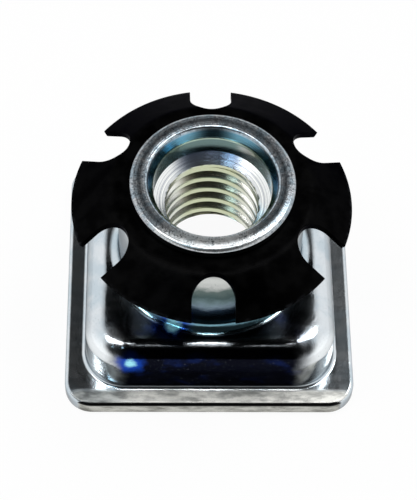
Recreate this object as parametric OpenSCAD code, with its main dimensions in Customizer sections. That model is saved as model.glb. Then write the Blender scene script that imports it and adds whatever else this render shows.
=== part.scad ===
// Square tube threaded insert: a drawn sheet-steel cap, a spring-steel star washer
// and a round threaded nut that is swaged over to hold the three together.
// The underside of the flange is z = 0 and the thread axis is Z.

/* [Flange] */
// Side of the square flange, the same as the outside of the tube
flange_w = 25.4; // [24.6:0.1:32]
// Radius of the flange's corners, seen from above
flange_corner_r = 2.4; // [1:0.1:3.4]
// Thickness of the sheet that the cap is drawn from
sheet_t = 1.6; // [1.2:0.05:1.7]
// Rounding of the flange's blanked edge
rim_r = 0.25; // [0.1:0.05:0.5]

/* [Plug] */
// Width of the square plug at its foot, just under the bore of the tube
plug_w = 21.9; // [21.5:0.1:22.2]
// Radius of the plug's corners at the foot, seen from above
plug_corner_r = 3.6; // [3:0.1:4.4]
// Height of the plug's flat top above the underside of the flange
plug_h = 6.9; // [6.4:0.1:10]
// Lean of the plug's walls, in degrees
draft_deg = 1.5; // [0:0.25:2]
// Fillet between the flange and the plug's wall
root_r = 0.35; // [0.2:0.05:0.5]
// Outside radius where the sheet turns over, on the plug and on the neck
edge_r = 1.8; // [1.75:0.05:1.95]

/* [Neck] */
// Outside radius of the round neck
neck_r = 8; // [7.8:0.05:8.2]
// Height of the neck's flat top above the underside of the flange
neck_h = 15.85; // [14:0.05:20]
// Fillet between the plug's flat top and the neck
neck_root_r = 0.9; // [0.4:0.05:1]

/* [Star washer] */
// Radius of the star's tips, more than half of the tube's bore
star_r = 11.95; // [11.2:0.05:12.6]
// Thickness of the star's spring steel
star_t = 0.6; // [0.4:0.05:0.8]
// Radius of the star's flat middle
star_flat_r = 8.1; // [7.4:0.1:9]
// Slope of the petals below the flat middle, in degrees
petal_deg = 33; // [15:0.5:40]
// Radius of the bend between the middle and the petals, on the hollow side
star_bend_r = 0.8; // [0.4:0.1:1.5]
// Number of slots
slot_count = 6; // [4:1:8]
// Width of a slot
slot_w = 3.6; // [2:0.1:4]
// Distance from the axis to the round inner end of a slot
slot_in_r = 8.35; // [8:0.05:9.5]

/* [Nut] */
// Radius of the bore before it is threaded, for a 3/8 in thread of 16 to the inch
thread_bore_r = 3.97; // [3.2:0.01:4.3]
// Outside radius of the thread, which sets the lead-in at the nut's lower end
thread_major_r = 4.76; // [4.4:0.01:4.9]
// Height of the nut's lower end above the underside of the flange
nut_foot_h = 5.6; // [5.3:0.1:8]
// Outside radius of the shank that is swaged over
shank_r = 6; // [5.8:0.05:6.1]
// Radius of the plain relief above the thread, at its floor
relief_r = 5; // [4.9:0.05:5.3]
// Depth from the top of the lip to the floor of the relief
relief_depth = 2.6; // [1.8:0.1:4]
// Slope of the seat between the relief and the thread, in degrees
seat_deg = 45; // [30:1:60]
// Outside radius of the swaged lip
lip_r = 7; // [6.6:0.05:7.4]
// Thickness of the swaged lip
lip_t = 1.25; // [0.9:0.05:1.5]
// Radius of the relief at the lip's mouth, where the swaging has opened it
mouth_r = 5.45; // [5.35:0.05:5.7]
// Rounding of the lip's outer edge
lip_edge_r = 0.4; // [0.1:0.05:0.45]

/* [Clearances] */
// Gap between the nut's barrel and the inside of the neck
barrel_clear = 0.05; // [0.02:0.01:0.2]
// Gap between the shank and the holes that it passes through
shank_clear = 0.05; // [0.02:0.01:0.2]

/* [Hidden] */
$fn = 96;
// how far a cutter runs past the face that it cuts
past = 1;
// straight steps in the bend of a petal
bend_steps = 6;

zinc = "#b9c2cc";
black_oxide = "#1b1a1e";
bare_zinc = "#c6cbd0";

// The plug's wall is one profile carried round a square. Its corner centres stand
// this far from the axis, and the profile is measured outward from them.
plug_centre = plug_w / 2 - plug_corner_r;
root_angle = (90 + draft_deg) / 2;
root_centre = [plug_corner_r + root_r / tan(root_angle), sheet_t + root_r];
wall_out = [cos(draft_deg), sin(draft_deg)];
wall_run = (plug_h - edge_r - sheet_t + edge_r * sin(draft_deg)) / cos(draft_deg);
edge_centre = [
    plug_corner_r - wall_run * sin(draft_deg) - edge_r * cos(draft_deg),
    plug_h - edge_r
];
inner_edge_r = edge_r - sheet_t;
inner_root_r = root_r + sheet_t;

// The neck's fillet ends where the plug's flat top does.
plug_flat = plug_centre + edge_centre[0];
neck_fillet = min(neck_root_r, plug_flat - neck_r);
neck_foot_r = neck_r + neck_fillet;
neck_in_r = neck_r - sheet_t;

hole_r = shank_r + shank_clear;
star_z = neck_h;
lip_z = star_z + star_t;
lip_top = lip_z + lip_t;
barrel_r = neck_in_r - barrel_clear;
barrel_top = neck_h - sheet_t;
relief_z = lip_top - relief_depth;
seat_drop = (relief_r - thread_bore_r) * tan(seat_deg);

// --- shared shapes ---

// Points along an arc, both ends included
function arc(centre, r, from, to) = [
    for (k = [0:bend_steps])
        let (a = from + (to - from) * k / bend_steps)
            centre + r * [cos(a), sin(a)]
];

// Carries a profile round a square: the profile's x is measured outward from the
// corner centres and its y is height.
module around_square(centre) {
    for (side = [0:3]) rotate(90 * side) translate([centre, centre, 0]) {
        rotate_extrude(angle = 90) children();
        rotate([90, 0, 0]) linear_extrude(2 * centre) children();
    }
}

module rounded_square(w, r) {
    square([w, w - 2 * r], center = true);
    square([w - 2 * r, w], center = true);
    for (x = [-1, 1], y = [-1, 1])
        translate([x, y] * (w / 2 - r)) circle(r);
}

// --- cap ---

// Section of the plug's wall as a solid, out to the end of the root fillet
module plug_outside() {
    difference() {
        union() {
            polygon([
                [0, 0],
                [root_centre[0], 0],
                root_centre,
                root_centre - root_r * wall_out,
                edge_centre + edge_r * wall_out,
                edge_centre,
                [edge_centre[0], plug_h],
                [0, plug_h]
            ]);
            translate(edge_centre) circle(edge_r);
        }
        translate(root_centre) circle(root_r);
    }
}

// Section of the hollow under the plug, one sheet inside the outside
module plug_inside() {
    difference() {
        union() {
            polygon([
                [-past, -past],
                [root_centre[0], -past],
                root_centre,
                root_centre - inner_root_r * wall_out,
                edge_centre + inner_edge_r * wall_out,
                edge_centre,
                [edge_centre[0], plug_h - sheet_t],
                [-past, plug_h - sheet_t]
            ]);
            translate(edge_centre) circle(inner_edge_r);
        }
        translate(root_centre) circle(inner_root_r);
    }
}

module plug_wall_section() {
    difference() {
        plug_outside();
        plug_inside();
        translate([-edge_r, -past]) square([edge_r, plug_h + 2 * past]);
    }
}

module flange_rim_section() {
    square([flange_corner_r - rim_r, sheet_t]);
    translate([0, rim_r]) square([flange_corner_r, sheet_t - 2 * rim_r]);
    for (z = [rim_r, sheet_t - rim_r])
        translate([flange_corner_r - rim_r, z]) circle(rim_r);
}

module flange() {
    rim_centre = flange_w / 2 - flange_corner_r;
    mouth_centre_r = root_centre[0];
    difference() {
        union() {
            around_square(rim_centre) flange_rim_section();
            translate([-rim_centre, -rim_centre, 0])
                cube([2 * rim_centre, 2 * rim_centre, sheet_t]);
        }
        translate([0, 0, -past]) linear_extrude(sheet_t + 2 * past)
            rounded_square(2 * (plug_centre + mouth_centre_r), mouth_centre_r);
    }
}

module plug() {
    difference() {
        union() {
            around_square(plug_centre) plug_wall_section();
            translate([-plug_centre, -plug_centre, plug_h - sheet_t])
                cube([2 * plug_centre, 2 * plug_centre, sheet_t]);
        }
        cylinder(r = neck_foot_r, h = plug_h + past);
    }
}

// Section of the neck: fillet, wall, turned edge and flat top
module neck_outside() {
    top_centre = [neck_r - edge_r, neck_h - edge_r];
    difference() {
        union() {
            translate([0, plug_h - sheet_t])
                square([neck_foot_r, sheet_t + neck_fillet]);
            translate([0, plug_h]) square([neck_r, top_centre[1] - plug_h]);
            translate([0, plug_h]) square([top_centre[0], neck_h - plug_h]);
            translate(top_centre) circle(edge_r);
        }
        translate([neck_foot_r, plug_h + neck_fillet]) circle(neck_fillet);
        translate([-edge_r, plug_h - sheet_t - past]) square([edge_r, neck_h]);
    }
}

module neck_inside() {
    top_centre = [neck_r - edge_r, neck_h - edge_r];
    flare_r = neck_fillet + sheet_t;
    difference() {
        union() {
            translate([-past, plug_h - sheet_t - past])
                square([neck_foot_r + past, past + flare_r]);
            translate([-past, plug_h - sheet_t])
                square([neck_in_r + past, top_centre[1] - plug_h + sheet_t]);
            translate([-past, plug_h - sheet_t])
                square([top_centre[0] + past, neck_h - plug_h]);
            translate(top_centre) circle(inner_edge_r);
        }
        translate([neck_foot_r, plug_h + neck_fillet]) circle(flare_r);
    }
}

module neck() {
    rotate_extrude() difference() {
        neck_outside();
        neck_inside();
        square([hole_r, neck_h + past]);
    }
}

module cap_shell() {
    color(zinc) {
        flange();
        plug();
        neck();
    }
}

// --- star washer ---

// Section of the star before its slots are cut: flat middle, bend and petal
module star_section() {
    top_bend_r = star_bend_r + star_t;
    bend_centre = [star_flat_r, star_z - star_bend_r];
    petal_along = [cos(petal_deg), -sin(petal_deg)];
    top_bend = arc(bend_centre, top_bend_r, 90, 90 - petal_deg);
    under_bend = arc(bend_centre, star_bend_r, 90 - petal_deg, 90);
    petal_len = (star_r - top_bend[bend_steps][0]) / cos(petal_deg);
    polygon(concat(
        [[hole_r, star_z], [hole_r, star_z + star_t]],
        top_bend,
        [top_bend[bend_steps] + petal_len * petal_along],
        [under_bend[0] + petal_len * petal_along],
        under_bend
    ));
}

// One slot along +X, cut from under the lowest tip to above the flat middle
module star_slot() {
    slot_h = star_r + star_t + past;
    translate([slot_in_r + slot_w / 2, 0, star_z - star_r]) {
        cylinder(d = slot_w, h = slot_h);
        translate([0, -slot_w / 2, 0]) cube([star_r, slot_w, slot_h]);
    }
}

module star_washer() {
    color(black_oxide) difference() {
        rotate_extrude() star_section();
        for (k = [0:slot_count - 1]) rotate(360 / slot_count * k - 90) star_slot();
    }
}

// --- nut ---

// Section of the nut with its bore filled
module nut_outside() {
    chamfer = inner_edge_r + barrel_clear;
    polygon([
        [0, nut_foot_h],
        [barrel_r - chamfer, nut_foot_h],
        [barrel_r, nut_foot_h + chamfer],
        [barrel_r, barrel_top - chamfer],
        [barrel_r - chamfer, barrel_top],
        [shank_r, barrel_top],
        [shank_r, lip_z],
        [lip_r - lip_edge_r, lip_z],
        [lip_r - lip_edge_r, lip_top],
        [0, lip_top]
    ]);
    translate([shank_r, lip_z + lip_edge_r])
        square([lip_r - shank_r, lip_t - 2 * lip_edge_r]);
    for (z = [lip_z + lip_edge_r, lip_top - lip_edge_r])
        translate([lip_r - lip_edge_r, z]) circle(lip_edge_r);
}

// Section of the bore: lead-in, thread, sloped seat, relief and mouth
module nut_bore() {
    lead_in = thread_major_r - thread_bore_r;
    polygon([
        [0, nut_foot_h - past],
        [thread_major_r, nut_foot_h - past],
        [thread_major_r, nut_foot_h],
        [thread_bore_r, nut_foot_h + lead_in],
        [thread_bore_r, relief_z - seat_drop],
        [relief_r, relief_z],
        [mouth_r, lip_top],
        [mouth_r, lip_top + past],
        [0, lip_top + past]
    ]);
}

module threaded_nut() {
    color(bare_zinc) rotate_extrude() difference() {
        nut_outside();
        nut_bore();
    }
}

cap_shell();
star_washer();
threaded_nut();
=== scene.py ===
# %% [markdown]
# # Square tube threaded insert
#
# The object is a small fitting that closes the end of a square steel tube and
# gives it a thread. Three pieces make it: a drawn sheet-steel cap, a black
# spring-steel star that grips the tube, and a turned nut whose end is swaged
# over to hold the other two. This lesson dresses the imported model's solids:
# every piece is built again as a clean mesh with the same sizes, and then
# gets the finish of the real one.

import math

import bmesh
import bpy
from mathutils import Matrix, Vector


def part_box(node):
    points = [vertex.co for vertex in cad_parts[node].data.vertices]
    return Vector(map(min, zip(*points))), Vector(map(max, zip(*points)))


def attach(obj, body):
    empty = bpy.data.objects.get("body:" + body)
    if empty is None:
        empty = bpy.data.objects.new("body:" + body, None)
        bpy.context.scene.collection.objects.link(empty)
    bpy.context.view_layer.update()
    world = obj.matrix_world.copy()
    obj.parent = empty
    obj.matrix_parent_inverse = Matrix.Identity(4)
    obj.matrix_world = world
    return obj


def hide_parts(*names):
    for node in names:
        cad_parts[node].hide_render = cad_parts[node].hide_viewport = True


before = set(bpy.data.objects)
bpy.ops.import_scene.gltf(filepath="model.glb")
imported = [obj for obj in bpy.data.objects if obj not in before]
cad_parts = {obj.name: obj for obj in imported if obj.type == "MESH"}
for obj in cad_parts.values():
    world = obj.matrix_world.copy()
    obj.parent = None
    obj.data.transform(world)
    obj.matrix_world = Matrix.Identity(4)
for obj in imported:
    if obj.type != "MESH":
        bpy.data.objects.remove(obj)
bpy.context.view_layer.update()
MM = 0.001
for node in sorted(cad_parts):
    low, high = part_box(node)
    print(node, "from and to, mm:", [round(v / MM, 2) for v in (*low, *high)])

# %% [markdown]
# ## Camera
#
# A small part is best seen from well above with a long lens, so that its
# square flange stays nearly square. The camera's place, the point that it
# aims at and its slight roll are written in millimetres and degrees. The
# rotation could be typed in by hand, but worked out from the aim it follows
# when the place changes.

# %% Camera
CAMERA_PLACE = Vector((-4.3878, -85.8627, 142.4763)) * MM
CAMERA_AIM = Vector((-0.1043, 0.0052, 6.7696)) * MM
CAMERA_ROLL = math.radians(2.642)
CAMERA_LENS, CAMERA_SENSOR = 130.727, 36
CAMERA_NEAR, CAMERA_FAR = 0.01, 10

camera_data = bpy.data.cameras.new("product_camera")
camera_data.lens = CAMERA_LENS
camera_data.sensor_width = CAMERA_SENSOR
camera_data.clip_start = CAMERA_NEAR
camera_data.clip_end = CAMERA_FAR
camera = bpy.data.objects.new("product_camera", camera_data)
bpy.context.scene.collection.objects.link(camera)
camera.location = CAMERA_PLACE
aimed = (CAMERA_AIM - CAMERA_PLACE).to_track_quat("-Z", "Y").to_matrix().to_4x4()
rolled = Matrix.Rotation(CAMERA_ROLL, 4, "Z")
camera.matrix_world = Matrix.Translation(CAMERA_PLACE) @ aimed @ rolled
bpy.context.scene.camera = camera
print("camera distance, mm:", round((CAMERA_AIM - CAMERA_PLACE).length / MM, 1))

# %% [markdown]
# ## From rings to a mesh
#
# Drawn and turned parts are made of cross-sections that change slowly, so
# each mesh is a stack of rings with the same number of points, joined by
# quads. A stack that closes on itself needs no caps. Rings can lie as close
# as a fillet needs and far apart on a flat, which keeps the mesh light. The
# points are in millimetres until the last step.

# %% Turn points and faces into an object
WELD = 1e-7
CREASE = math.radians(32)


def finish_mesh(name, points, faces):
    """Makes an object from millimetre points, welded, facing outward and smooth."""
    mesh = bpy.data.meshes.new(name)
    mesh.from_pydata([tuple(MM * v for v in p) for p in points], [], faces)
    shape = bmesh.new()
    shape.from_mesh(mesh)
    bmesh.ops.remove_doubles(shape, verts=shape.verts, dist=WELD)
    bmesh.ops.dissolve_degenerate(shape, edges=shape.edges, dist=WELD)
    bmesh.ops.recalc_face_normals(shape, faces=shape.faces)
    for face in shape.faces:
        face.smooth = True
    for edge in shape.edges:
        edge.smooth = len(edge.link_faces) == 2 and edge.calc_face_angle() < CREASE
    loose = sum(1 for edge in shape.edges if len(edge.link_faces) != 2)
    shape.to_mesh(mesh)
    shape.free()
    piece = bpy.data.objects.new(name, mesh)
    bpy.context.scene.collection.objects.link(piece)
    print(name, len(mesh.polygons), "faces,", loose, "open edges")
    return piece


# %% Join rings with quads
def ring_faces(count, rings):
    """Quads between each ring and the next, and from the last back to the first."""
    faces = []
    for k in range(rings):
        here, there = k * count, (k + 1) % rings * count
        for i in range(count):
            j = (i + 1) % count
            faces.append((here + i, here + j, there + j, there + i))
    return faces


print("three rings of four points give", len(ring_faces(4, 3)), "quads")


# %% Lines that a profile is made of
def arc(centre, radius, start, end, steps):
    """Points on an arc, both ends included; angles in degrees."""
    turn = [math.radians(start + (end - start) * k / steps) for k in range(steps + 1)]
    return [(centre[0] + radius * math.cos(a), centre[1] + radius * math.sin(a))
            for a in turn]


def line(start, end, steps):
    """Points inside a straight run, ends left out."""
    share = [k / steps for k in range(1, steps)]
    return [(start[0] + (end[0] - start[0]) * t, start[1] + (end[1] - start[1]) * t)
            for t in share]


def smooth(t):
    """A share from 0 to 1 that starts and ends gently."""
    t = min(max(t, 0), 1)
    return t * t * (3 - 2 * t)


print("a quarter of the way is eased to", round(smooth(0.25), 3))

# %% [markdown]
# ## The drawn cap
#
# The cap starts as one flat blank. A press draws the square plug, and a
# second die draws the round neck out of the plug's top, so the wall keeps the
# thickness of the sheet all the way. Its section is one closed line: along
# the outside, down through the hole and back along the inside. Below the
# plug's flat top the rings are rounded squares, above it they are circles,
# and the flat top is where one turns into the other. A box with bevels is
# quicker, but doesn't give one wall thickness inside and out.

# %% Sizes of the cap
SHEET = 1.6
FLANGE_HALF, FLANGE_CORNER, RIM = 12.7, 2.4, 0.32
PLUG_HALF, PLUG_CORNER, PLUG_TOP = 10.95, 3.6, 6.9
DRAFT_DEG = 1.5
ROOT, TURN = 0.35, 1.8
NECK, NECK_TOP, NECK_ROOT = 8.0, 15.85, 0.9
HOLE, HOLE_EDGE = 6.05, 0.1
draft = math.radians(DRAFT_DEG)
print("wall inside the neck stands at radius", NECK - SHEET)

# %% Centres of the cap's fillets
plug_centre = PLUG_HALF - PLUG_CORNER
rim_centre = FLANGE_HALF - FLANGE_CORNER
root_middle = (PLUG_CORNER + ROOT / math.tan((math.pi / 2 + draft) / 2), SHEET + ROOT)
wall_run = (PLUG_TOP - TURN - SHEET + TURN * math.sin(draft)) / math.cos(draft)
turn_middle = (
    PLUG_CORNER - wall_run * math.sin(draft) - TURN * math.cos(draft),
    PLUG_TOP - TURN,
)
neck_middle = (NECK + NECK_ROOT, PLUG_TOP + NECK_ROOT)
brim_middle = (NECK - TURN, NECK_TOP - TURN)
print("plug turns over at", [round(v, 3) for v in turn_middle])

# %% Square and round rings
CORNER_STEPS, SIDE_STEPS = 24, 40
corner_angle = math.atan2(plug_centre, plug_centre + turn_middle[0])


def square_ring(centre, corner, z):
    """A rounded square: corner arcs about points at (centre, centre)."""
    quarter = []
    for k in range(CORNER_STEPS):
        a = math.pi / 2 * k / CORNER_STEPS
        quarter.append((centre + corner * math.cos(a), centre + corner * math.sin(a)))
    for k in range(SIDE_STEPS):
        a = corner_angle * (1 - 2 * k / SIDE_STEPS)
        quarter.append((centre * math.tan(a) / math.tan(corner_angle), centre + corner))
    ring = []
    for turn in range(4):
        for x, y in quarter:
            for _ in range(turn):
                x, y = -y, x
            ring.append((x, y, z))
    return ring


ring_angles = [math.atan2(y, x) for x, y, z in square_ring(plug_centre, turn_middle[0], 0)]
print(len(ring_angles), "points in each ring of the cap")


def round_ring(radius, z):
    """A circle whose points lie in the directions of the square ring's points."""
    return [(radius * math.cos(a), radius * math.sin(a), z) for a in ring_angles]


def blend_rings(first, last, share):
    """A ring that lies between two others."""
    return [tuple(a + (b - a) * share for a, b in zip(p, q)) for p, q in zip(first, last)]


# %% [markdown]
# The second draw pulls on the plug's top, so that it falls a little toward
# the left and right sides. It is only a seventh of a millimetre, but a bright
# surface shows it at once. It could be sculpted by hand, but a share that
# grows smoothly lowers each point without a seam.

# %% The sag of the plug's top
SAG = 0.14
SAG_FROM, SAG_OVER = 0.8, 1.8
SAG_FOOT, SAG_RISE = 3.0, 2.0
SAG_SIDE, SAG_NECK = 7.2, 1.2


def sagged(ring):
    """Lets the plug's top fall a little toward its sides, as the draw leaves it."""
    low = []
    for x, y, z in ring:
        side = [abs(v) - plug_centre for v in (x, y)]
        outward = math.hypot(max(side[0], 0), max(side[1], 0)) + min(max(side), 0)
        fall = smooth((outward - SAG_FROM) / SAG_OVER) * smooth((z - SAG_FOOT) / SAG_RISE)
        fall *= smooth((math.hypot(x, y) - neck_middle[0]) / SAG_NECK)
        fall *= smooth((abs(x) - SAG_SIDE) / SAG_NECK)
        low.append((x, y, z - SAG * fall))
    return low


print("the plug's top falls by up to", SAG, "mm")

# %% Outside of the flange and plug
SUPPORT = 0.05
RIM_STEPS, ROOT_STEPS, WALL_STEPS, TURN_STEPS, TOP_STEPS = 4, 6, 12, 18, 12
rim_x = FLANGE_CORNER - RIM
foot_x = root_middle[0] + SUPPORT

rings = []
rings.append(square_ring(plug_centre, foot_x, 0))
rings.append(square_ring(rim_centre, rim_x - SUPPORT, 0))
for x, z in arc((rim_x, RIM), RIM, -90, 0, RIM_STEPS):
    rings.append(square_ring(rim_centre, x, z))
for x, z in arc((rim_x, SHEET - RIM), RIM, 0, 90, RIM_STEPS):
    rings.append(square_ring(rim_centre, x, z))
rings.append(square_ring(rim_centre, rim_x - SUPPORT, SHEET))
rings.append(square_ring(plug_centre, foot_x, SHEET))

outside = arc(root_middle, ROOT, 270, 180 + DRAFT_DEG, ROOT_STEPS)
turned = arc(turn_middle, TURN, DRAFT_DEG, 90, TURN_STEPS)
outside += line(outside[-1], turned[0], WALL_STEPS) + turned
for x, z in outside:
    rings.append(sagged(square_ring(plug_centre, x, z)))

flat_square = square_ring(plug_centre, turn_middle[0], PLUG_TOP)
flat_round = round_ring(neck_middle[0] + SUPPORT, PLUG_TOP)
for k in range(1, TOP_STEPS + 1):
    rings.append(sagged(blend_rings(flat_square, flat_round, k / TOP_STEPS)))
print(len(rings), "rings up to the neck")

# %% Neck, out and back in through the hole
NECK_ROOT_STEPS, NECK_STEPS, BRIM_STEPS, HOLE_STEPS = 8, 8, 14, 3
BRIM_INNER_STEPS, NECK_INNER_STEPS, FLARE_STEPS = 4, 6, 10
hole_x = HOLE + HOLE_EDGE

neck_line = arc(neck_middle, NECK_ROOT, 270, 180, NECK_ROOT_STEPS)
brim = arc(brim_middle, TURN, 0, 90, BRIM_STEPS)
neck_line += line(neck_line[-1], brim[0], NECK_STEPS) + brim
neck_line += arc((hole_x, NECK_TOP - HOLE_EDGE), HOLE_EDGE, 90, 180, HOLE_STEPS)
neck_line += arc((hole_x, NECK_TOP - SHEET + HOLE_EDGE), HOLE_EDGE, 180, 270, HOLE_STEPS)
neck_line += arc(brim_middle, TURN - SHEET, 90, 0, BRIM_INNER_STEPS)
flare = arc(neck_middle, NECK_ROOT + SHEET, 180, 270, FLARE_STEPS)
neck_line += line(neck_line[-1], flare[0], NECK_INNER_STEPS) + flare
for x, z in neck_line:
    rings.append(round_ring(x, z))
print(len(neck_line), "rings in the neck")

# %% Inside of the plug
CURL_STEPS, INNER_TURN_STEPS, INNER_WALL_STEPS = 12, 4, 5

ceiling_round = round_ring(neck_middle[0] + SUPPORT, PLUG_TOP - SHEET)
ceiling_square = square_ring(plug_centre, turn_middle[0] - SUPPORT, PLUG_TOP - SHEET)
rings += [ceiling_round, blend_rings(ceiling_round, ceiling_square, 0.5), ceiling_square]
inside = arc(turn_middle, TURN - SHEET, 90, DRAFT_DEG, INNER_TURN_STEPS)
curl = arc(root_middle, ROOT + SHEET, 180 + DRAFT_DEG, 270, CURL_STEPS)
inside += line(inside[-1], curl[0], INNER_WALL_STEPS) + curl
for x, z in inside:
    rings.append(square_ring(plug_centre, x, z))
print(len(rings), "rings in all")

# %% Cap
cap_points = [point for ring in rings for point in ring]
cap = finish_mesh("cap", cap_points, ring_faces(len(rings[0]), len(rings)))
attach(cap, "root")
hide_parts("cap_shell")

# %% [markdown]
# ## The star washer
#
# The star is blanked from thin spring steel, with six round-ended slots, and
# its petals are bent down so that their tips bite into the tube. Its plan is
# cut into six sectors, one about each slot, where a grid fans out from the
# slot's edge to the middle lines of the two petals and to the hole. Every
# outline edge has square-cornered faces beside it, so that a bevel can run
# round them all, where booleans would leave ragged triangles. The height
# comes last, from the section of the bent petal: flat, bend, slope.

# %% Sizes of the star
STAR_Z, STAR_T, STAR_TIP = 15.85, 0.6, 11.95
STAR_FLAT, STAR_BEND = 8.1, 0.8
PETAL = math.radians(33)
SLOTS, SLOT_HALF, SLOT_INNER = 6, 1.8, 8.35
slot_middle = SLOT_INNER + SLOT_HALF
tip_under = STAR_TIP - STAR_T * math.sin(PETAL)
print("star's tips under the sheet at radius", round(tip_under, 2))


# %% Height of the star at a radius
def star_height(r, side):
    """Height of the star's top (side 1) or underside (side 0) at a radius."""
    bend = STAR_BEND + STAR_T * side
    middle_z = STAR_Z - STAR_BEND
    end_r = STAR_FLAT + bend * math.sin(PETAL)
    if r <= STAR_FLAT:
        return middle_z + bend
    if r <= end_r:
        return middle_z + math.sqrt(bend ** 2 - (r - STAR_FLAT) ** 2)
    return middle_z + bend * math.cos(PETAL) - (r - end_r) * math.tan(PETAL)


print("tips stand at z", round(star_height(STAR_TIP, 1), 2))

# %% The two edges of a sector
SIDE, ROUND = 12, 44
DOWN = 11
half_sector = math.pi / SLOTS


def slot_edge(side):
    """Radius and angle along the slot's edge, from one tip round to the other."""
    tip = STAR_TIP if side else tip_under
    straight = []
    for k in range(SIDE):
        x = math.sqrt(tip ** 2 - SLOT_HALF ** 2)
        x += (slot_middle - x) * k / SIDE
        straight.append((math.hypot(x, SLOT_HALF), -math.atan2(SLOT_HALF, x)))
    bow = []
    for k in range(ROUND + 1):
        a = math.pi * (k / ROUND - 0.5)
        x, y = slot_middle - SLOT_HALF * math.cos(a), SLOT_HALF * math.sin(a)
        bow.append((math.hypot(x, y), math.atan2(y, x)))
    return straight + bow + [(r, -a) for r, a in reversed(straight)]


def outer_path(side):
    """The sector's other edge: down one petal's middle line, the hole, and back."""
    tip = STAR_TIP if side else tip_under
    run = []
    for k in range(SIDE):
        run.append((tip + (slot_middle - tip) * k / SIDE, -half_sector))
    for k in range(DOWN):
        run.append((slot_middle + (HOLE - slot_middle) * k / DOWN, -half_sector))
    over = ROUND - 2 * DOWN
    for k in range(over + 1):
        run.append((HOLE, half_sector * (2 * k / over - 1)))
    back = [(r, -a) for r, a in reversed(run[:SIDE + DOWN])]
    return run + back


print(len(slot_edge(1)), "points along each edge of a sector")

# %% Points of the star
ACROSS, CROWDING = 26, 1.25
rows = ACROSS + 1
columns = 2 * SIDE + ROUND + 1

star_points = []
for sector in range(SLOTS):
    heading = math.radians(-90) + 2 * half_sector * sector
    for side in (0, 1):
        for (r0, a0), (r1, a1) in zip(slot_edge(side), outer_path(side)):
            for k in range(rows):
                t = (k / ACROSS) ** CROWDING
                r, a = r0 + (r1 - r0) * t, a0 + (a1 - a0) * t + heading
                star_points.append((r * math.cos(a), r * math.sin(a), star_height(r, side)))
print(len(star_points), "points in the star")


# %% Faces of the star
def sector_faces(base):
    """Both skins of one sector, and the walls that join them at its edges."""
    top = base + columns * rows
    faces = []

    def wall(first, second):
        faces.append([base + first, base + second, top + second, top + first])

    for c in range(columns - 1):
        for k in range(ACROSS):
            quad = [c * rows + k, c * rows + k + 1, (c + 1) * rows + k + 1, (c + 1) * rows + k]
            faces.append([base + v for v in quad])
            faces.append([top + v for v in reversed(quad)])
        wall(c * rows, (c + 1) * rows)
        if SIDE + DOWN <= c < columns - 1 - SIDE - DOWN:
            wall((c + 1) * rows + ACROSS, c * rows + ACROSS)
    for c in (0, columns - 1):
        for k in range(ACROSS):
            wall(c * rows + k, c * rows + k + 1)
    return faces


star_faces = []
for sector in range(SLOTS):
    star_faces += sector_faces(sector * 2 * columns * rows)
star = finish_mesh("star", star_points, star_faces)
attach(star, "root")
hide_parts("star_washer")

# %% [markdown]
# A blanked edge is never quite sharp, and the light that it catches shows how
# thick the sheet is. A bevel modifier would do as well, but here the faces can
# be counted.

# %% Break the star's sharp edges
SHARP = math.radians(50)
STAR_EDGE, STAR_EDGE_STEPS = 0.05, 2


def soften_edges(piece, width, steps):
    """Bevels every edge that turns by more than SHARP."""
    shape = bmesh.new()
    shape.from_mesh(piece.data)
    sharp = [e for e in shape.edges if len(e.link_faces) == 2 and e.calc_face_angle() > SHARP]
    bmesh.ops.bevel(shape, geom=sharp, offset=width * MM, offset_type="OFFSET",
                    segments=steps, profile=0.5, affect="EDGES", clamp_overlap=True)
    for face in shape.faces:
        face.smooth = True
    shape.to_mesh(piece.data)
    shape.free()
    print(piece.name, "bevelled", len(sharp), "edges")


soften_edges(star, STAR_EDGE, STAR_EDGE_STEPS)

# %% [markdown]
# ## The threaded nut
#
# The nut is turned: a barrel inside the neck, a shank through the star, and a
# lip swaged outward over it. Turned forms are circles about one axis, so the
# outside is again a stack of rings. Above the thread the bore has a seat left
# by the drill, a plain wall, and a steep funnel where the mouth was opened.

# %% Sizes of the nut
NUT_FOOT, BARREL, SHANK = 5.6, 6.35, 6.0
BARREL_TOP, BARREL_CHAMFER = 14.25, 0.25
LIP, LIP_Z, LIP_TOP, LIP_EDGE = 7.0, 16.45, 17.7, 0.4
LIP_CROWN = 0.05
MOUTH, MOUTH_EDGE, FUNNEL_DEG = 5.45, 0.3, 66
BEAD, BEAD_Z, BEAD_EDGE = 5.02, 16.7, 0.12
RELIEF, RELIEF_Z, DRILL = 4.99, 14.87, math.radians(30)
print("the lip is", round(LIP_TOP - LIP_Z, 2), "mm thick")

# %% [markdown]
# The thread is real geometry, because it is seen straight on. A screw modifier
# could sweep its profile, but would leave open ends. Here the grid follows the
# helix, one row of points for each place on the profile, so that crests and
# roots stay crisp, and every point is held between the foot and the relief.

# %% Shape of the thread
PITCH, MINOR, MAJOR = 1.5875, 3.97, 4.76
CREST_HALF, FLANK = 0.31, math.radians(30)
THREAD_EDGE = 0.06
EDGE_TAPS = (-1, -0.5, 0, 0.5, 1)
THREAD_START, RUNOUT_Z, RUNOUT = 13.6, 14.0, 0.3


def thread_form(phase):
    """Radius of the sharp thread at a place along the pitch; a crest is at 0."""
    phase = abs((phase + PITCH / 2) % PITCH - PITCH / 2)
    return min(MINOR + max(phase - CREST_HALF, 0) / math.tan(FLANK), MAJOR)


def thread_radius(z, phase):
    """Bore radius: the thread, opened by the lead-in cone and by the seat cone."""
    soft = sum(thread_form(phase + k * THREAD_EDGE) for k in EDGE_TAPS) / len(EDGE_TAPS)
    soft = MINOR + (soft - MINOR) * smooth((RUNOUT_Z - z) / RUNOUT)
    lead_in = MAJOR - (z - NUT_FOOT)
    seat = RELIEF - (RELIEF_Z - z) / math.tan(DRILL)
    return max(soft, lead_in, seat)


print("threads in the nut:", round((THREAD_START - NUT_FOOT) / PITCH, 1))

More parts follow.
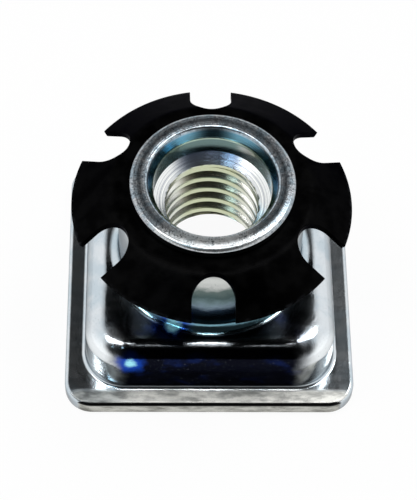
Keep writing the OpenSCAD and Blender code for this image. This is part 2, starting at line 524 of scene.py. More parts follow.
# %% Places along the thread's profile
half_phases = [0, 0.12, 0.24, 0.27, 0.3, 0.33, 0.36, 0.43, 0.51, 0.59, 0.64, 0.68, 0.72, 0.75]
half_phases.append(PITCH / 2)
phases = half_phases + [PITCH - p for p in reversed(half_phases[1:-1])]
per_turn = len(phases)
print(per_turn, "rows of points in each turn of the thread")

# %% Grid of the thread
TURNS = 192
QUARTER = 0.25
SPARE_BELOW, SPARE_ABOVE = 2, 4
turns_up = int((RELIEF_Z - NUT_FOOT) / PITCH) + SPARE_ABOVE
low_turn = -int((THREAD_START - NUT_FOOT) / PITCH) - SPARE_BELOW
thread_rows = turns_up * per_turn

nut_points = []
for i in range(TURNS + 1):
    a = 2 * math.pi * i / TURNS
    for j in range(thread_rows):
        phase = phases[j % per_turn]
        z = THREAD_START + (low_turn + j // per_turn) * PITCH + phase
        z += PITCH * (i / TURNS - QUARTER)
        held = min(max(z, NUT_FOOT), RELIEF_Z)
        r = thread_radius(held, phase)
        if held != z:
            r = MAJOR if z < NUT_FOOT else RELIEF
        nut_points.append((r * math.cos(a), r * math.sin(a), held))
nut_faces = []
for i in range(TURNS):
    for j in range(thread_rows - 1):
        here, there = i * thread_rows + j, (i + 1) * thread_rows + j
        nut_faces.append((here, there, there + 1, here + 1))
print(len(nut_faces), "faces on the thread's grid")

# %% Outline of the nut, from its foot round to the relief
LIP_UNDER_STEPS, LIP_OVER_STEPS, LIP_STEPS = 8, 10, 10
MOUTH_STEPS, FUNNEL_STEPS, BEAD_STEPS, RELIEF_STEPS = 8, 6, 5, 8
LIP_UNDER_DEG, BEAD_END_DEG = -84, 183
lip_edge_x = LIP - LIP_EDGE
crown_foot_z = LIP_TOP - LIP_CROWN
mouth_x = MOUTH + MOUTH_EDGE
lip_middle, lip_half = (lip_edge_x + mouth_x) / 2, (lip_edge_x - mouth_x) / 2

outline = [
    (MAJOR, NUT_FOOT),
    (BARREL - BARREL_CHAMFER, NUT_FOOT),
    (BARREL, NUT_FOOT + BARREL_CHAMFER),
    (BARREL, BARREL_TOP - BARREL_CHAMFER),
    (BARREL - BARREL_CHAMFER, BARREL_TOP),
    (SHANK, BARREL_TOP),
    (SHANK, LIP_Z),
    (lip_edge_x, LIP_Z),
]
outline += arc((lip_edge_x, LIP_Z + LIP_EDGE), LIP_EDGE, LIP_UNDER_DEG, 0, LIP_UNDER_STEPS)
outline += arc((lip_edge_x, crown_foot_z - LIP_EDGE), LIP_EDGE, 0, 90, LIP_OVER_STEPS)[:-1]
for k in range(LIP_STEPS + 1):
    across = 1 - 2 * k / LIP_STEPS
    outline.append((lip_middle + lip_half * across, LIP_TOP - LIP_CROWN * across ** 2))
outline += arc((mouth_x, crown_foot_z - MOUTH_EDGE), MOUTH_EDGE, 90, 90 + FUNNEL_DEG,
               MOUTH_STEPS)[1:]
bead = arc((BEAD + BEAD_EDGE, BEAD_Z), BEAD_EDGE, 90 + FUNNEL_DEG, BEAD_END_DEG, BEAD_STEPS)
outline += line(outline[-1], bead[0], FUNNEL_STEPS) + bead
outline += line(outline[-1], (RELIEF, RELIEF_Z), RELIEF_STEPS) + [(RELIEF, RELIEF_Z)]
print(len(outline), "rings round the nut")

# %% Nut
start = len(nut_points)
for r, z in outline:
    for i in range(TURNS):
        a = 2 * math.pi * i / TURNS
        nut_points.append((r * math.cos(a), r * math.sin(a), z))
for face in ring_faces(TURNS, len(outline))[:-TURNS]:
    nut_faces.append(tuple(start + v for v in face))

nut = finish_mesh("nut", nut_points, nut_faces)
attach(nut, "root")
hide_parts("threaded_nut")

# %% [markdown]
# ## Shader building blocks
#
# A finish is a tree of small nodes. The node editor shows a short tree well,
# but a long one is easier to read as text, so a few helpers place a node and
# link it in one call. A mask runs from 0 to 1, and the product of several is
# the place where all of them hold.


# %% Put nodes into a tree
def put(tree, kind, sockets=None, **settings):
    """Adds a node, sets its properties, and fills sockets with values or links."""
    new = tree.nodes.new(kind)
    for key, value in settings.items():
        setattr(new, key, value)
    for key, value in (sockets or {}).items():
        if isinstance(value, bpy.types.NodeSocket):
            tree.links.new(value, new.inputs[key])
        else:
            new.inputs[key].default_value = value
    return new


def math_node(tree, operation, *values):
    """The result of one operation on numbers or sockets."""
    return put(tree, "ShaderNodeMath", dict(enumerate(values)), operation=operation).outputs[0]


def times(tree, first, *others):
    """The product of several masks."""
    for other in others:
        first = math_node(tree, "MULTIPLY", first, other)
    return first


def scaled(tree, value, factor, start):
    """The value times a factor, added to a start."""
    return math_node(tree, "MULTIPLY_ADD", value, factor, start)


print("ready: put, math_node, times, scaled")


# %% Steps, mixes and bands
def rgb(r, g, b):
    """A full colour from its red, green and blue."""
    return (r, g, b, 1)


def ramp(tree, value, low, high, start=0.0, end=1.0):
    """A smooth step from start to end as the value goes from low to high."""
    return put(tree, "ShaderNodeMapRange",
               {"Value": value, "From Min": low, "From Max": high,
                "To Min": start, "To Max": end},
               interpolation_type="SMOOTHSTEP").outputs[0]


def zone(tree, *limits):
    """The product of smooth steps: limits are (value, (low, high))."""
    return times(tree, *[ramp(tree, value, *step) for value, step in limits])


def mix_colour(tree, share, first, second):
    """The first colour, with a share of the second; 6 and 7 are the colour sockets."""
    return put(tree, "ShaderNodeMix", {0: share, 6: first, 7: second},
               data_type="RGBA").outputs[2]


def bands(tree, value, low, high, stops):
    """A colour that runs through named heights: stops are (place, colour)."""
    share = put(tree, "ShaderNodeMapRange",
                {"Value": value, "From Min": low, "From Max": high}).outputs[0]
    node = put(tree, "ShaderNodeValToRGB", {"Fac": share})
    marks = node.color_ramp.elements
    while len(marks) < len(stops):
        marks.new(1.0)
    for mark, (place, colour) in zip(marks, stops):
        mark.position = (place - low) / (high - low)
        mark.color = colour
    return node.outputs["Color"]


print("ready: rgb, ramp, zone, mix_colour, bands")

# %% A new group of nodes
FLOAT, VECTOR = "NodeSocketFloat", "NodeSocketVector"


def new_group(name, inputs, outputs):
    """A shader node group with named sockets; returns its tree, input and output nodes."""
    tree = bpy.data.node_groups.new(name, "ShaderNodeTree")
    for label, kind, value in inputs:
        socket = tree.interface.new_socket(name=label, in_out="INPUT", socket_type=kind)
        socket.default_value = value
    for label, kind in outputs:
        tree.interface.new_socket(name=label, in_out="OUTPUT", socket_type=kind)
    return tree, put(tree, "NodeGroupInput"), put(tree, "NodeGroupOutput")


print("ready: new_group")

# %% [markdown]
# All three finishes ask where on its piece a point lies, and all have grain:
# clouds, specks and dents of many sizes. Each effect is a node group with
# named sockets, built once, so that a material only says how fine the grain
# is. The groups work in millimetres, because coordinates from 0 to 1 would
# stretch a speck with the size of the piece. From here on, a pair of numbers
# is where a step starts and ends, and a grain is its size with such a pair,
# and sometimes how much it is squeezed along X, Y and Z.

# %% Group: where a point is, in millimetres
PER_METRE = 1000.0

where, _, gives = new_group(
    "where_mm", [],
    [("Place", VECTOR), ("Radius", FLOAT), ("X", FLOAT), ("Y", FLOAT), ("Z", FLOAT)])
spot = put(where, "ShaderNodeTexCoord").outputs["Object"]
spot = put(where, "ShaderNodeVectorMath", {0: spot, "Scale": PER_METRE},
           operation="SCALE").outputs[0]
axes = put(where, "ShaderNodeSeparateXYZ", {0: spot}).outputs
flat = put(where, "ShaderNodeCombineXYZ", {0: axes[0], 1: axes[1]}).outputs[0]
reach = put(where, "ShaderNodeVectorMath", {0: flat}, operation="LENGTH").outputs["Value"]
for label, socket in zip(("Place", "Radius", "X", "Y", "Z"), (spot, reach, *axes)):
    where.links.new(socket, gives.inputs[label])
print("where_mm gives", [item.name for item in where.interface.items_tree])


def place_of(tree):
    """Places the group in a material and returns its outputs, in the order above."""
    return put(tree, "ShaderNodeGroup", node_tree=where).outputs


# %% Group: grain
GRAIN_SIZE, GRAIN_LOW, GRAIN_HIGH = 0.2, 0.35, 0.65
NOISE_DETAIL, NOISE_ROUGHNESS = 3.0, 0.55

grain, given, gives = new_group(
    "grain",
    [("Place", VECTOR, (0, 0, 0)), ("Stretch", VECTOR, (1, 1, 1)),
     ("Size", FLOAT, GRAIN_SIZE), ("Low", FLOAT, GRAIN_LOW), ("High", FLOAT, GRAIN_HIGH)],
    [("Mask", FLOAT)])
given = given.outputs
pulled = put(grain, "ShaderNodeVectorMath", {0: given["Place"], 1: given["Stretch"]},
             operation="MULTIPLY").outputs[0]
cloud = put(grain, "ShaderNodeTexNoise",
            {"Vector": pulled, "Scale": math_node(grain, "DIVIDE", 1.0, given["Size"]),
             "Detail": NOISE_DETAIL, "Roughness": NOISE_ROUGHNESS}).outputs["Fac"]
mask = ramp(grain, cloud, given["Low"], given["High"])
grain.links.new(mask, gives.inputs["Mask"])
print("grain has", [item.name for item in grain.interface.items_tree])


def grain_mask(tree, place, size, low=GRAIN_LOW, high=GRAIN_HIGH, stretch=(1, 1, 1)):
    """Places the group; size is the width of a mark in mm, and low to high its edge."""
    return put(tree, "ShaderNodeGroup",
               {"Place": place, "Stretch": stretch, "Size": size, "Low": low, "High": high},
               node_tree=grain).outputs["Mask"]


# %% Start and end of a material
def new_material(name):
    """An empty material and its tree."""
    material = bpy.data.materials.new(name)
    material.use_nodes = True
    material.node_tree.nodes.clear()
    return material, material.node_tree


def finish_material(tree, base, rough, height, bump, depth, metal, tint):
    """The shader itself; what is the same all over is a plain value on its socket."""
    normal = put(tree, "ShaderNodeBump",
                 {"Height": height, "Strength": bump, "Distance": depth * MM}).outputs[0]
    shader = put(tree, "ShaderNodeBsdfPrincipled",
                 {"Base Color": base, "Roughness": rough, "Metallic": metal,
                  "Specular Tint": tint, "Normal": normal})
    put(tree, "ShaderNodeOutputMaterial", {"Surface": shader.outputs[0]})
    print("finished with", len(tree.nodes), "nodes")


# %% [markdown]
# ## Zinc plate on the drawn cap
#
# Drawn steel is bright and slightly rippled, and the film that protects its
# zinc changes colour with its thickness. A metal's base colour tints what it
# mirrors, so the film can be painted there, zone by zone, and so can light
# and shade. A coat layer would be nearer to the physics, but its white
# reflection would hide the navy. The plate comes first: cloudy, and brightest
# on the plug's corners, which is a painted highlight there.

# %% Bare plate
PLATE, CLOUDY_PLATE = rgb(0.62, 0.66, 0.69), rgb(0.50, 0.57, 0.62)
CORNER_HIGHLIGHT_PLATE = rgb(0.84, 0.88, 0.90)
PLATE_CLOUD = 2.2
ABOVE_FLANGE = (1.75, 2.1)
CORNER_REACH = (17.8, 19.2)

zinc, tree = new_material("zinc_plate")
place, radius, at_x, at_y, at_z = place_of(tree)
facing = put(tree, "ShaderNodeTexCoord").outputs["Normal"]
facing = put(tree, "ShaderNodeSeparateXYZ", {0: facing}).outputs
up = math_node(tree, "ABSOLUTE", facing[2])
far_x = math_node(tree, "ABSOLUTE", at_x)
far_y = math_node(tree, "ABSOLUTE", at_y)

base = mix_colour(tree, grain_mask(tree, place, PLATE_CLOUD), PLATE, CLOUDY_PLATE)
# Painted highlight: the plug's corners get a paler plate, so that their highlights come out
# brighter.
corner_highlight = zone(tree, (at_z, ABOVE_FLANGE),
                 (math_node(tree, "ADD", far_x, far_y), CORNER_REACH))
base = mix_colour(tree, corner_highlight, base, CORNER_HIGHLIGHT_PLATE)
print("bare plate:", len(tree.nodes), "nodes")

# %% [markdown]
# Bands painted on the neck in the film's colours copy the light and dark that
# its front mirrors, so they are painted reflections: teal at its foot, then
# navy, grey, and pale near the top. A colour ramp along the height gives the
# rings, and some grain added to the height makes their edges wander. They are
# painted on the front (low Y), and only a trace is left behind.

# %% Painted reflections on the neck
NECK_PAINTED_BANDS_Z = (6.0, 16.0)
NECK_PAINTED_BANDS = (
    (7.7, rgb(0.17, 0.33, 0.40)),
    (8.7, rgb(0.05, 0.10, 0.15)),
    (10.0, rgb(0.05, 0.09, 0.15)),
    (10.7, rgb(0.34, 0.46, 0.56)),
    (11.5, rgb(0.20, 0.29, 0.31)),
    (12.2, rgb(0.09, 0.14, 0.14)),
    (13.2, rgb(0.15, 0.20, 0.19)),
    (13.9, rgb(0.62, 0.64, 0.62)),
    (15.5, rgb(0.66, 0.68, 0.66)),
)
WAVES, NECK_WAVE = (1.1, 0.2, 0.8), 0.7
ABOVE_PLUG, INSIDE_FOOT = (6.88, 6.96), (9.2, 8.9)
PAINTED_FRONT_Y, TRACE = (-3.2, -7.0), 0.18

wavy = grain_mask(tree, place, *WAVES)
neck_painted_bands = bands(tree, scaled(tree, wavy, NECK_WAVE, at_z), *NECK_PAINTED_BANDS_Z, NECK_PAINTED_BANDS)
neck_zone = zone(tree, (at_z, ABOVE_PLUG), (radius, INSIDE_FOOT))
# The front mask: the neck's painted reflections and the plug's painted shade are put on the front,
# at low Y.
painted_front = ramp(tree, at_y, *PAINTED_FRONT_Y)
painted_band_share = scaled(tree, painted_front, 1 - TRACE, TRACE)
base = mix_colour(tree, times(tree, neck_zone, painted_band_share), base, neck_painted_bands)
print("film on the neck:", len(NECK_PAINTED_BANDS), "bands")

# %% [markdown]
# The front of the plug is painted near-black navy, with bluer blots: painted
# shade for the dark that it mirrors, tinted like the film. It covers the
# middle, thins out toward the corners and is a little thinner on the level
# top (up near 1), with bare dots where it is left off. Each of these is one
# mask, and the cover is their product, so that any one can be changed alone.

# %% Painted navy shade on the plug
NAVY_PAINTED_SHADE, BLUE_PAINTED_SHADE = rgb(0.004, 0.0045, 0.009), rgb(0.006, 0.012, 0.055)
NAVY_X, NAVY_WAVE = (9.9, 7.2), 0.5
ON_PLUG_Z, OFF_NECK = (1.61, 1.95), (8.75, 9.0)
LEVEL_TOP = (0.96, 0.86)
TOP_Y, TOP_COVER = (-8.6, -9.3), (0.95, 0.72)
BARE_DOTS, BARE_SHARE = (0.17, 0.66, 0.76), 0.3
BLOTS = (2.6, 0.52, 0.74, (1, 1, 1.6))

middle = ramp(tree, scaled(tree, wavy, NAVY_WAVE, far_x), *NAVY_X)
on_plug = zone(tree, (at_z, ON_PLUG_Z), (radius, OFF_NECK))
top_cover = ramp(tree, up, *LEVEL_TOP, ramp(tree, at_y, *TOP_Y, *TOP_COVER), 1.0)
bare = grain_mask(tree, place, *BARE_DOTS)
painted_shade_cover = times(tree, middle, on_plug, top_cover, painted_front, scaled(tree, bare, -BARE_SHARE, 1.0))
blot = grain_mask(tree, place, *BLOTS)
# Painted shade: the plug's front is made near black here, with bluer blots.
base = mix_colour(tree, painted_shade_cover, base, mix_colour(tree, blot, NAVY_PAINTED_SHADE, BLUE_PAINTED_SHADE))
print("navy film:", len(tree.nodes), "nodes")

# %% [markdown]
# Two glints are painted into the film, as painted highlights: bright blue
# round the edge and nearly white cyan in the middle. Each is a distance from a
# point, given as the point and its reach, and the same wave as before makes
# it less round. The second one is milky too, which here means less metallic.

# %% Painted glints in the film
PAINTED_GLINTS = (((-6.97, -10.85, 5.4), 1.0), ((-3.3, -7.8, 7.2), 1.25))
GLINT_BLUE, GLINT_CORE = rgb(0.01, 0.06, 0.42), rgb(0.36, 0.82, 0.95)
GLINT_WAVE = 0.5
GLINT_BLUE_FROM, GLINT_BLUE_FULL = 1.9, 0.8
GLINT_CORE_FROM, GLINT_CORE_FULL = 1.0, 0.5
MATT_GLINT_REACH = (1.3, 0.6)

for point, reach in PAINTED_GLINTS:
    away = put(tree, "ShaderNodeVectorMath", {0: place, 1: point},
               operation="DISTANCE").outputs["Value"]
    away = scaled(tree, wavy, GLINT_WAVE, away)
    blue_glint = ramp(tree, away, GLINT_BLUE_FROM * reach, GLINT_BLUE_FULL * reach)
    base = mix_colour(tree, blue_glint, base, GLINT_BLUE)
    glint_core = ramp(tree, away, GLINT_CORE_FROM * reach, GLINT_CORE_FULL * reach)
    base = mix_colour(tree, glint_core, base, GLINT_CORE)
matt_glint = ramp(tree, away, *MATT_GLINT_REACH)
print("thin places:", len(PAINTED_GLINTS))

# %% [markdown]
# The flange's front and back strips rub against the press and are matt, with
# a warm mottle that is darker at the left end. They run out at the corners
# along a mitre, where far_y no longer exceeds far_x. A second material there
# would have a hard edge, and a mask fades.

# %% Rubbed strips of the flange
RUBBED_DARK, RUBBED_PALE = rgb(0.40, 0.40, 0.38), rgb(0.98, 0.97, 0.91)
LEFT_DARK, LEFT_PALE = rgb(0.12, 0.13, 0.13), rgb(0.48, 0.50, 0.49)
STRIP_Y, STRIP_Z, STRIP_UP = (11.0, 11.5), (2.0, 1.7), (0.72, 0.92)
MITRE, LEFT_END_X = (-1.3, 0.1), (-5.0, -10.0)
MOTTLE = (0.75, 0.28, 0.66, (0.45, 1.2, 1))

strip = zone(tree, (far_y, STRIP_Y), (at_z, STRIP_Z), (up, STRIP_UP),
             (math_node(tree, "SUBTRACT", far_y, far_x), MITRE))
mottle = grain_mask(tree, place, *MOTTLE)
rubbed = mix_colour(tree, mottle, RUBBED_DARK, RUBBED_PALE)
left_end = ramp(tree, at_x, *LEFT_END_X)
rubbed = mix_colour(tree, left_end, rubbed, mix_colour(tree, mottle, LEFT_DARK, LEFT_PALE))
base = mix_colour(tree, strip, base, rubbed)
print("strips:", len(tree.nodes), "nodes")

# %% [markdown]
# Along the front and back, the rim's upright face is dull, and a dark line is
# painted where it turns over: painted shade for the dark that the rounding
# mirrors. The line is found by the slope of the rounding: up is near 0 on the
# face and near 1 on the flat above it.

# %% Rim of the flange
RIM_DARK, RIM_PALE, RIM_SHADE_LINE = rgb(0.22, 0.22, 0.20), rgb(0.56, 0.56, 0.52), rgb(0.012, 0.012, 0.012)
RIM_Y, RIM_UPRIGHT = (12.3, 12.5), (0.8, 0.5)
LINE_Y, LINE_Z, LINE_FROM, LINE_TO = (12.3, 12.4), (0.9, 1.2), (0.08, 0.3), (0.99, 0.93)

on_rim = zone(tree, (far_y, RIM_Y), (up, RIM_UPRIGHT))
base = mix_colour(tree, on_rim, base, mix_colour(tree, mottle, RIM_DARK, RIM_PALE))
# Painted shade: a near-black line on the rim's rounding.
rim_shade_line = zone(tree, (at_z, LINE_Z), (up, LINE_FROM), (up, LINE_TO), (far_y, LINE_Y))
base = mix_colour(tree, rim_shade_line, base, RIM_SHADE_LINE)
print("rim:", len(tree.nodes), "nodes")

# %% [markdown]
# What is left is the same all over: fine dark specks and two sizes of dents.
# The matt places become rougher and less metallic by a share of their masks.

# %% Specks, shine and dents of the plate
SPECK, SPECKS, SPECK_SHARE = rgb(0.05, 0.07, 0.08), (0.13, 0.60, 0.74), 0.35
PLATE_ROUGH, MOTTLE_ROUGH = 0.11, 0.04
NECK_ROUGH, NECK_ROUGH_Z, STRIP_ROUGH = 0.2, (8.0, 11.0), 0.2
STRIP_MATT, SIDE_MATT, MATT_GLINT_SHARE = 0.85, 0.07, 0.75
SIDE_X = (11.2, 11.5)
RIPPLE, PEEL, PEEL_SHARE = (0.6, 0.1, 0.9), (0.09, 0.1, 0.9), 0.2
PLATE_BUMP, PLATE_DEPTH = 0.5, 0.015
PLATE_TINT = rgb(0.5, 0.5, 0.5)

speck = grain_mask(tree, place, *SPECKS)
base = mix_colour(tree, times(tree, speck, SPECK_SHARE), base, SPECK)
rough = scaled(tree, mottle, MOTTLE_ROUGH, PLATE_ROUGH)
dull_neck = times(tree, neck_zone, ramp(tree, at_z, *NECK_ROUGH_Z))
rough = scaled(tree, dull_neck, NECK_ROUGH, rough)
rough = scaled(tree, strip, STRIP_ROUGH, rough)
right_side = zone(tree, (at_x, SIDE_X), (at_z, STRIP_Z))
metal = scaled(tree, strip, -STRIP_MATT, 1.0)
metal = scaled(tree, right_side, -SIDE_MATT, metal)
# The second painted glint is less metallic as well.
metal = scaled(tree, matt_glint, -MATT_GLINT_SHARE, metal)
height = scaled(tree, grain_mask(tree, place, *PEEL), PEEL_SHARE,
                grain_mask(tree, place, *RIPPLE))
finish_material(tree, base, rough, height, PLATE_BUMP, PLATE_DEPTH, metal, PLATE_TINT)
cap.data.materials.append(zinc)

# %% [markdown]
# ## Black oxide on the star
#
# Spring steel is blackened in a hot salt bath and then oiled. It stays a
# metal with a soft sheen and almost no colour of its own, so the base colour
# is nearly zero, and the specular tint keeps its edges from going white. The
# tips are rubbed a little brighter. Wear is often found from how sharp an
# edge is, but on thin petals that also picks up the mesh itself, so here it
# depends on the radius.

# %% Black oxide
OXIDE, SMOKY_OXIDE = rgb(0.0012, 0.0012, 0.0013), rgb(0.003, 0.003, 0.0031)
WORN, WORN_SHARE = rgb(0.06, 0.065, 0.075), 0.3
SMOKE_SIZE, WEAR, TIP_RADIUS = 1.5, (0.5, 0.45, 0.7), (11.65, 11.95)
OXIDE_ROUGH, SMOKY_ROUGH = 0.36, 0.12
OXIDE_GRAIN, OXIDE_BUMP, OXIDE_DEPTH = (0.07, 0.1, 0.9), 0.3, 0.008
OXIDE_TINT = rgb(0.49, 0.49, 0.5)

black, tree = new_material("black_oxide")
place, radius = place_of(tree)[:2]
smoky = grain_mask(tree, place, SMOKE_SIZE)
base = mix_colour(tree, smoky, OXIDE, SMOKY_OXIDE)
patchy = grain_mask(tree, place, *WEAR)
worn = times(tree, patchy, ramp(tree, radius, *TIP_RADIUS))
base = mix_colour(tree, times(tree, worn, WORN_SHARE), base, WORN)
rough = scaled(tree, smoky, SMOKY_ROUGH, OXIDE_ROUGH)
fine = grain_mask(tree, place, *OXIDE_GRAIN)
finish_material(tree, base, rough, fine, OXIDE_BUMP, OXIDE_DEPTH, 1.0, OXIDE_TINT)
star.data.materials.append(black)

# %% [markdown]
# ## Turned and swaged nut
#
# The nut's zinc is brighter than the cap's and its film is kept where
# nothing touches it: inside. Going down, the funnel is blue, the wall under
# it green, the drilled seat blue-grey, and the thread has yellow-green
# crests and brown roots. The helper that gave the neck its bands gives these
# too, and the mask called inside keeps them off the outside.

# %% Steel, and the film inside
STEEL, CLOUDY_STEEL, STEEL_CLOUD = rgb(0.64, 0.66, 0.68), rgb(0.52, 0.56, 0.59), 1.4
BORE_RADIUS, BORE_Z = (5.72, 5.62), (5.7, 5.9)
BORE_FILM_Z = (13.6, 17.7)
BORE_FILM = (
    (14.2, rgb(0.80, 0.82, 0.74)),
    (14.35, rgb(0.38, 0.44, 0.52)),
    (14.85, rgb(0.28, 0.36, 0.52)),
    (14.95, rgb(0.10, 0.15, 0.15)),
    (16.5, rgb(0.15, 0.23, 0.22)),
    # Painted highlight: the pale green band at 16.72 lies on the bead's rounding.
    (16.72, rgb(0.55, 0.66, 0.56)),
    (16.85, rgb(0.10, 0.22, 0.27)),
    (17.3, rgb(0.13, 0.30, 0.40)),
    (17.5, rgb(0.66, 0.74, 0.80)),
)

steel, tree = new_material("nut_zinc")
place, radius, at_x, at_y, at_z = place_of(tree)
base = mix_colour(tree, grain_mask(tree, place, STEEL_CLOUD), STEEL, CLOUDY_STEEL)
inside = zone(tree, (radius, BORE_RADIUS), (at_z, BORE_Z))
depths = bands(tree, at_z, *BORE_FILM_Z, BORE_FILM)
base = mix_colour(tree, inside, base, depths)
print("film in the bore:", len(BORE_FILM), "bands")

# %% Crests and roots of the thread
# The roots' brown is the film's tint, darkened as painted shade in the thread's grooves.
CREST, THREAD_ROOT = rgb(0.62, 0.66, 0.46), rgb(0.36, 0.35, 0.26)
THREAD_REACH, THREAD_Z, ROOT_RADIUS = (5.0, 4.8), (14.3, 14.15), (3.98, 4.06)

in_thread = zone(tree, (radius, THREAD_REACH), (at_z, THREAD_Z))
in_root = ramp(tree, radius, *ROOT_RADIUS)
base = mix_colour(tree, in_thread, base, mix_colour(tree, in_root, CREST, THREAD_ROOT))
print("thread:", len(tree.nodes), "nodes")

# %% [markdown]
# The bore's left and right sides are painted with a paler film: a painted
# highlight that brightens them. Only the left wall above the seat keeps its
# film, so its mask is taken from 1.

# %% Painted highlights on the sides of the bore
SIDE_HIGHLIGHT_FILM, SIDE_HIGHLIGHT_SHARE = rgb(0.95, 0.96, 0.92), 0.9
SIDE_HIGHLIGHT_X, SIDE_HIGHLIGHT_Z = (1.8, 3.7), (16.6, 16.4)
WALL_Z, WALL_X = (14.86, 14.92), (0.5, -0.5)

left_wall = zone(tree, (at_z, WALL_Z), (at_x, WALL_X))
# The mask of this painted highlight: a paler film on the bore's left and right.
clear = times(tree, inside, ramp(tree, math_node(tree, "ABSOLUTE", at_x), *SIDE_HIGHLIGHT_X),
              ramp(tree, at_z, *SIDE_HIGHLIGHT_Z), math_node(tree, "SUBTRACT", 1.0, left_wall))
base = mix_colour(tree, times(tree, clear, SIDE_HIGHLIGHT_SHARE), base, SIDE_HIGHLIGHT_FILM)
print("clear sides:", len(tree.nodes), "nodes")

# %% [markdown]
# A lathe tool leaves fine rings. Noise that is read only by radius and
# height can't change round the axis, so it comes out as rings. Swaging drags
# the metal outward and leaves streaks across them. For those the noise is
# read by the cosine and sine of the angle, which never jump as it does.

# %% Turning marks and streaks
MARKS_PER_MM, MARKS_DETAIL, MARKS_EDGE = 14.0, 2.0, (0.3, 0.7)
SCUFF = (0.35, 0.35, 0.75)
STREAK_SIZE, STREAK_STRETCH = 0.022, 0.12

by_radius = put(tree, "ShaderNodeCombineXYZ",
                {0: times(tree, radius, MARKS_PER_MM),
                 1: times(tree, at_z, MARKS_PER_MM)}).outputs[0]
marks = put(tree, "ShaderNodeTexNoise",
            {"Vector": by_radius, "Scale": 1.0, "Detail": MARKS_DETAIL}).outputs["Fac"]
brushed = ramp(tree, marks, *MARKS_EDGE)
scuff = grain_mask(tree, place, *SCUFF)
angle = math_node(tree, "ARCTAN2", at_y, at_x)
by_angle = put(tree, "ShaderNodeCombineXYZ",
               {0: math_node(tree, "COSINE", angle), 1: math_node(tree, "SINE", angle),
                2: times(tree, radius, STREAK_STRETCH)}).outputs[0]
streaks = grain_mask(tree, by_angle, STREAK_SIZE)
texture = times(tree, math_node(tree, "ADD", scuff, brushed), streaks)
print("marks:", len(tree.nodes), "nodes")

# %% [markdown]
# The lip has teal patches of film, dull streaks, and over them a paler,
# rougher stretch at its front that fades toward the right.

# %% Face of the lip
LIP_TEAL, TEAL_SHARE = rgb(0.27, 0.41, 0.50), 0.55
TEAL_PATCHES = (0.9, 0.4, 0.62, (1, 1, 0.1))
DULL, DULL_START, DULL_STREAKS = rgb(0.05, 0.06, 0.075), 0.2, 0.5
PALE_FRONT, PALE_FRONT_START, PALE_FRONT_STREAKS = rgb(0.72, 0.74, 0.73), 0.6, 0.25
ON_LIP_Z, PALE_FRONT_Y, PALE_FRONT_X, PALE_FRONT_FADE = (17.3, 17.5), (-3.8, -5.8), (2.0, 4.5), (1.0, 0.35)

on_lip = ramp(tree, at_z, *ON_LIP_Z)
teal = grain_mask(tree, place, *TEAL_PATCHES)
base = mix_colour(tree, times(tree, teal, on_lip, TEAL_SHARE), base, LIP_TEAL)
dull = times(tree, on_lip, scaled(tree, texture, DULL_STREAKS, DULL_START))
base = mix_colour(tree, dull, base, DULL)
pale_front = times(tree, on_lip, ramp(tree, at_y, *PALE_FRONT_Y),
                ramp(tree, at_x, *PALE_FRONT_X, *PALE_FRONT_FADE),
                scaled(tree, texture, -PALE_FRONT_STREAKS, PALE_FRONT_START))
base = mix_colour(tree, pale_front, base, PALE_FRONT)
print("lip:", len(tree.nodes), "nodes")

# %% [markdown]
# The drilled seat has the same rings, dark. The rest is roughness: each mask
# that was used for colour now adds its own share.

# %% Seat, shine and dents of the nut
SEAT_MARK, SEAT_SHARE = rgb(0.16, 0.19, 0.25), 0.7
SEAT_FROM, SEAT_TO = (14.25, 14.3), (14.9, 14.86)
STEEL_ROUGH, LIP_ROUGH, PALE_FRONT_ROUGH, THREAD_ROUGH, SEAT_ROUGH = 0.10, 0.12, 0.16, 0.12, 0.12
STEEL_GRAIN, MARKS_HEIGHT = (0.1, 0.1, 0.9), 0.6
STEEL_BUMP, STEEL_DEPTH = 0.3, 0.006
STEEL_TINT = rgb(0.7, 0.7, 0.7)

on_seat = zone(tree, (at_z, SEAT_FROM), (at_z, SEAT_TO))
marked = times(tree, on_seat, inside, brushed)
base = mix_colour(tree, times(tree, marked, SEAT_SHARE), base, SEAT_MARK)
rough = scaled(tree, on_lip, LIP_ROUGH, STEEL_ROUGH)
rough = scaled(tree, pale_front, PALE_FRONT_ROUGH, rough)
rough = scaled(tree, in_thread, THREAD_ROUGH, rough)
rough = scaled(tree, on_seat, SEAT_ROUGH, rough)
fine = grain_mask(tree, place, *STEEL_GRAIN)
height = scaled(tree, brushed, MARKS_HEIGHT, fine)
finish_material(tree, base, rough, height, STEEL_BUMP, STEEL_DEPTH, 1.0, STEEL_TINT)
nut.data.materials.append(steel)

# %% [markdown]
# ## Floor
#
# The part stands on white paper. White under these lamps would clip and throw
# light back into every surface, so the floor is pale grey to the light, and
# glows at a strength of 1, which is white, only for rays from the camera, a
# mirror or glass. A small share stays grey and carries the shadow. The back
# is clear, so that the part can be seen from below.

# %% Floor
FLOOR_HALF, FLOOR_DROP = 1.5, 0.02
WHITE, FLOOR_GREY = rgb(1, 1, 1), rgb(0.85, 0.85, 0.85)
GLOW_SHARE, GLOW = 0.94, 1.0

floor_mesh = bpy.data.meshes.new("floor")
floor_corners = [(-1, -1), (1, -1), (1, 1), (-1, 1)]
floor_mesh.from_pydata(
    [(x * FLOOR_HALF, y * FLOOR_HALF, -FLOOR_DROP * MM) for x, y in floor_corners],
    [], [(0, 1, 2, 3)])
floor = bpy.data.objects.new("floor", floor_mesh)
bpy.context.scene.collection.objects.link(floor)

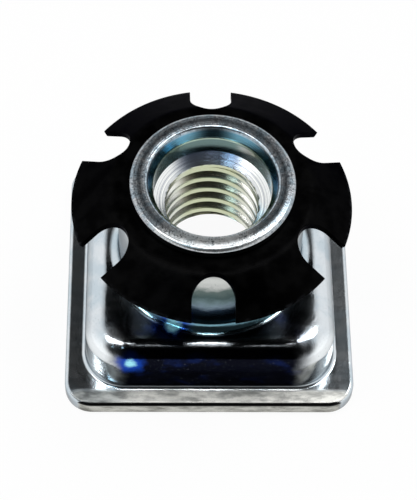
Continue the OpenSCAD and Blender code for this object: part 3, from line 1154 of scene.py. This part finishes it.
pale, tree = new_material("pale_floor")
path = put(tree, "ShaderNodeLightPath").outputs
seen = math_node(tree, "MAXIMUM", path["Is Camera Ray"], path["Is Glossy Ray"])
seen = math_node(tree, "MAXIMUM", seen, path["Is Transmission Ray"])
matt = put(tree, "ShaderNodeBsdfDiffuse", {"Color": FLOOR_GREY}).outputs[0]
glow = put(tree, "ShaderNodeEmission", {"Color": WHITE, "Strength": GLOW}).outputs[0]
top = put(tree, "ShaderNodeMixShader",
          {0: times(tree, seen, GLOW_SHARE), 1: matt, 2: glow}).outputs[0]
under = put(tree, "ShaderNodeBsdfTransparent").outputs[0]
behind = put(tree, "ShaderNodeNewGeometry").outputs["Backfacing"]
both = put(tree, "ShaderNodeMixShader", {0: behind, 1: top, 2: under}).outputs[0]
put(tree, "ShaderNodeOutputMaterial", {"Surface": both})
floor_mesh.materials.append(pale)
print("floor:", 2 * FLOOR_HALF, "m wide,", FLOOR_DROP, "mm below the part")

# %% [markdown]
# ## Lamps
#
# Bright metal shows its lamps rather than their light, so each lamp is a
# round soft box whose size and place make one highlight. Its strength is set
# by how bright the box looks, and the watts follow from its area. Point lamps
# would leave dots.

# %% A round soft box
LAMP_FAR, LAMP_AIM_Z = 0.32, 8


def lamp(name, azimuth, elevation, half_angle, level, colour=(1, 1, 1)):
    """A round soft box that looks at the part; azimuth 0 is behind it, 90 on its right.

    The level is how bright the box itself looks, where 1 is white.
    """
    a, e = math.radians(azimuth), math.radians(elevation)
    toward = Vector((math.sin(a) * math.cos(e), math.cos(a) * math.cos(e), math.sin(e)))
    across = 2 * LAMP_FAR * math.tan(math.radians(half_angle))
    data = bpy.data.lights.new(name, "AREA")
    data.shape = "DISK"
    data.size = across
    data.energy = level * math.pi ** 2 * across ** 2 / 4
    data.color = colour
    source = bpy.data.objects.new(name, data)
    bpy.context.scene.collection.objects.link(source)
    source.location = toward * LAMP_FAR + Vector((0, 0, LAMP_AIM_Z * MM))
    source.rotation_euler = (-toward).to_track_quat("-Z", "Y").to_euler()
    print(name, "is", round(across / MM), "mm wide, in watts:", round(data.energy, 3))


# %% Lamps
COOL = (0.6, 0.85, 1.0)

lamp("left_box", azimuth=-97, elevation=66, half_angle=9, level=8.0)
lamp("right_box", azimuth=56, elevation=63, half_angle=9.5, level=8.0)
lamp("small_front", azimuth=174, elevation=76, half_angle=2.5, level=5.0)
lamp("cool_left", azimuth=-141, elevation=58, half_angle=4.0, level=9.0, colour=COOL)
lamp("zenith", azimuth=0, elevation=89, half_angle=7, level=12.0)

# %% [markdown]
# ## Room
#
# Between the lamps the metal mirrors the room: pale walls on the left and
# right, a pale wall low at the back, and darkness in front and above, which
# is what makes a plated wall look deep. A panorama would do this at once,
# but a few steps along the direction of the ray need no file, and each wall
# can be moved alone. The lower half is white, like the paper.

# %% Room
DARK, WALLS, BACK_WALL = 0.035, 1.1, 0.8
SIDE_OUT, SIDE_LEAN, SIDE_FRONT = (0.06, 0.62), 1.2, (-1.35, -0.9)
BACK_TOP, BACK_NEAR = (0.62, 0.45), (0.0, 0.4)

world = bpy.data.worlds.new("room")
bpy.context.scene.world = world
world.use_nodes = True
tree = world.node_tree
tree.nodes.clear()
look = put(tree, "ShaderNodeTexCoord").outputs["Generated"]
look_x, look_y, look_z = put(tree, "ShaderNodeSeparateXYZ", {0: look}).outputs
leaning = scaled(tree, look_z, -SIDE_LEAN, look_y)
sides = zone(tree, (math_node(tree, "ABSOLUTE", look_x), SIDE_OUT), (leaning, SIDE_FRONT))
back_low = zone(tree, (look_z, BACK_TOP), (look_y, BACK_NEAR))
walls = math_node(tree, "MAXIMUM", sides, times(tree, back_low, BACK_WALL))
level = scaled(tree, walls, WALLS, DARK)
level = math_node(tree, "MAXIMUM", level, math_node(tree, "LESS_THAN", look_z, 0.0))
back = put(tree, "ShaderNodeBackground", {"Color": WHITE, "Strength": level}).outputs[0]
put(tree, "ShaderNodeOutputWorld", {"Surface": back})
bpy.context.scene.view_settings.view_transform = "Standard"
print("room:", len(tree.nodes), "nodes")
